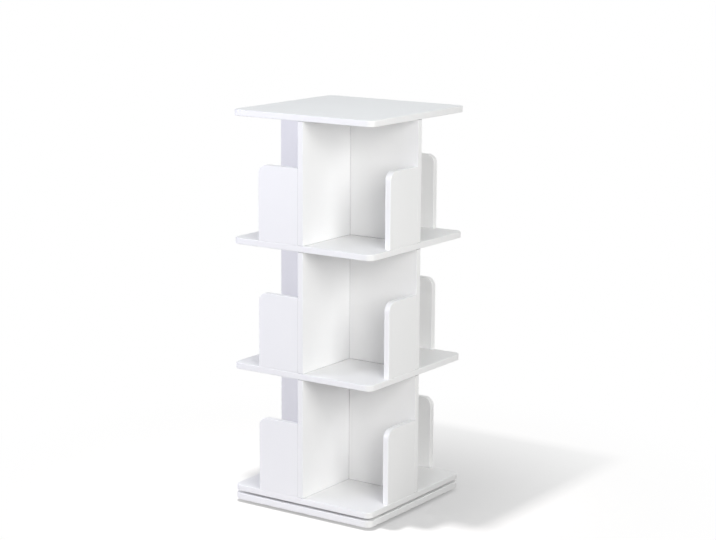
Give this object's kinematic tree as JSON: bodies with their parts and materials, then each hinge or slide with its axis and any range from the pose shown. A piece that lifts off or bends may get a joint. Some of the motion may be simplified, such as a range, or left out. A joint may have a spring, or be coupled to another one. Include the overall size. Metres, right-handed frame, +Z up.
{
  "type": "rotating media tower",
  "caption": "Free-standing square media tower with open bays on every side, crossed dividers and low guard boards, which turns on a flat swivel bearing over a fixed base plate.",
  "frame": {"origin": "on the floor, at the centre of the base plate and on the axis that the tower turns about", "axes": "+Z up along the turning axis, -Y and +X out of the two faces that the picture shows"},
  "size_m": [0.4, 0.4, 0.965],
  "materials": {
    "white_lacquer": "satin white lacquer",
    "beech": "raw beech",
    "foot_rubber": "matt",
    "zinc_steel": "zinc plated",
    "cage_plastic": "moulded",
    "ball_steel": "polished",
    "fastener_steel": "zinc plated",
    "cam_zinc": "die-cast zinc",
    "cap_plastic": "moulded white"
  },
  "bodies": {
    "base": {"base_plate": "white_lacquer", "foot_pads": "foot_rubber", "lower_swivel_plate": "zinc_steel", "swivel_rivet": "zinc_steel", "lower_swivel_bolts": "fastener_steel"},
    "tower": {"bottom_shelf": "white_lacquer", "lower_shelf": "white_lacquer", "upper_shelf": "white_lacquer", "top_panel": "white_lacquer", "lower_divider_long": "white_lacquer", "lower_divider_right": "white_lacquer", "lower_divider_left": "white_lacquer", "lower_guard_front": "white_lacquer", "lower_guard_right": "white_lacquer", "lower_guard_back": "white_lacquer", "lower_guard_left": "white_lacquer", "middle_divider_long": "white_lacquer", "middle_divider_right": "white_lacquer", "middle_divider_left": "white_lacquer", "middle_guard_front": "white_lacquer", "middle_guard_right": "white_lacquer", "middle_guard_back": "white_lacquer", "middle_guard_left": "white_lacquer", "upper_divider_long": "white_lacquer", "upper_divider_right": "white_lacquer", "upper_divider_left": "white_lacquer", "upper_guard_front": "white_lacquer", "upper_guard_right": "white_lacquer", "upper_guard_back": "white_lacquer", "upper_guard_left": "white_lacquer", "bottom_shelf_dowels": "beech", "lower_shelf_dowels": "beech", "upper_shelf_dowels": "beech", "top_panel_dowels": "beech", "lower_cross_dowel": "beech", "lower_guard_dowels": "beech", "middle_cross_dowel": "beech", "middle_guard_dowels": "beech", "upper_cross_dowel": "beech", "upper_guard_dowels": "beech", "bottom_shelf_screws": "fastener_steel", "lower_shelf_screws": "fastener_steel", "upper_shelf_screws": "fastener_steel", "lower_cam_bolts": "fastener_steel", "middle_cam_bolts": "fastener_steel", "upper_cam_bolts": "fastener_steel", "lower_cams": "cam_zinc", "middle_cams": "cam_zinc", "upper_cams": "cam_zinc", "lower_cam_caps": "cap_plastic", "middle_cam_caps": "cap_plastic", "upper_cam_caps": "cap_plastic", "upper_swivel_plate": "zinc_steel", "upper_swivel_screws": "fastener_steel"},
    "ball_ring": {"ball_cage": "cage_plastic", "swivel_balls": "ball_steel"}
  },
  "joints": [
    {"name": "tower_spin", "type": "hinge", "parent": "base", "child": "tower", "pos_m": [0, 0, 0.026], "axis": [0, 0, 1], "continuous": true},
    {"name": "ball_ring_spin", "type": "hinge", "parent": "base", "child": "ball_ring", "pos_m": [0, 0, 0.026], "axis": [0, 0, 1], "continuous": true}
  ],
  "couplings": [
    {"joint": "ball_ring_spin", "follows": "tower_spin", "ratio": 0.5}
  ]
}
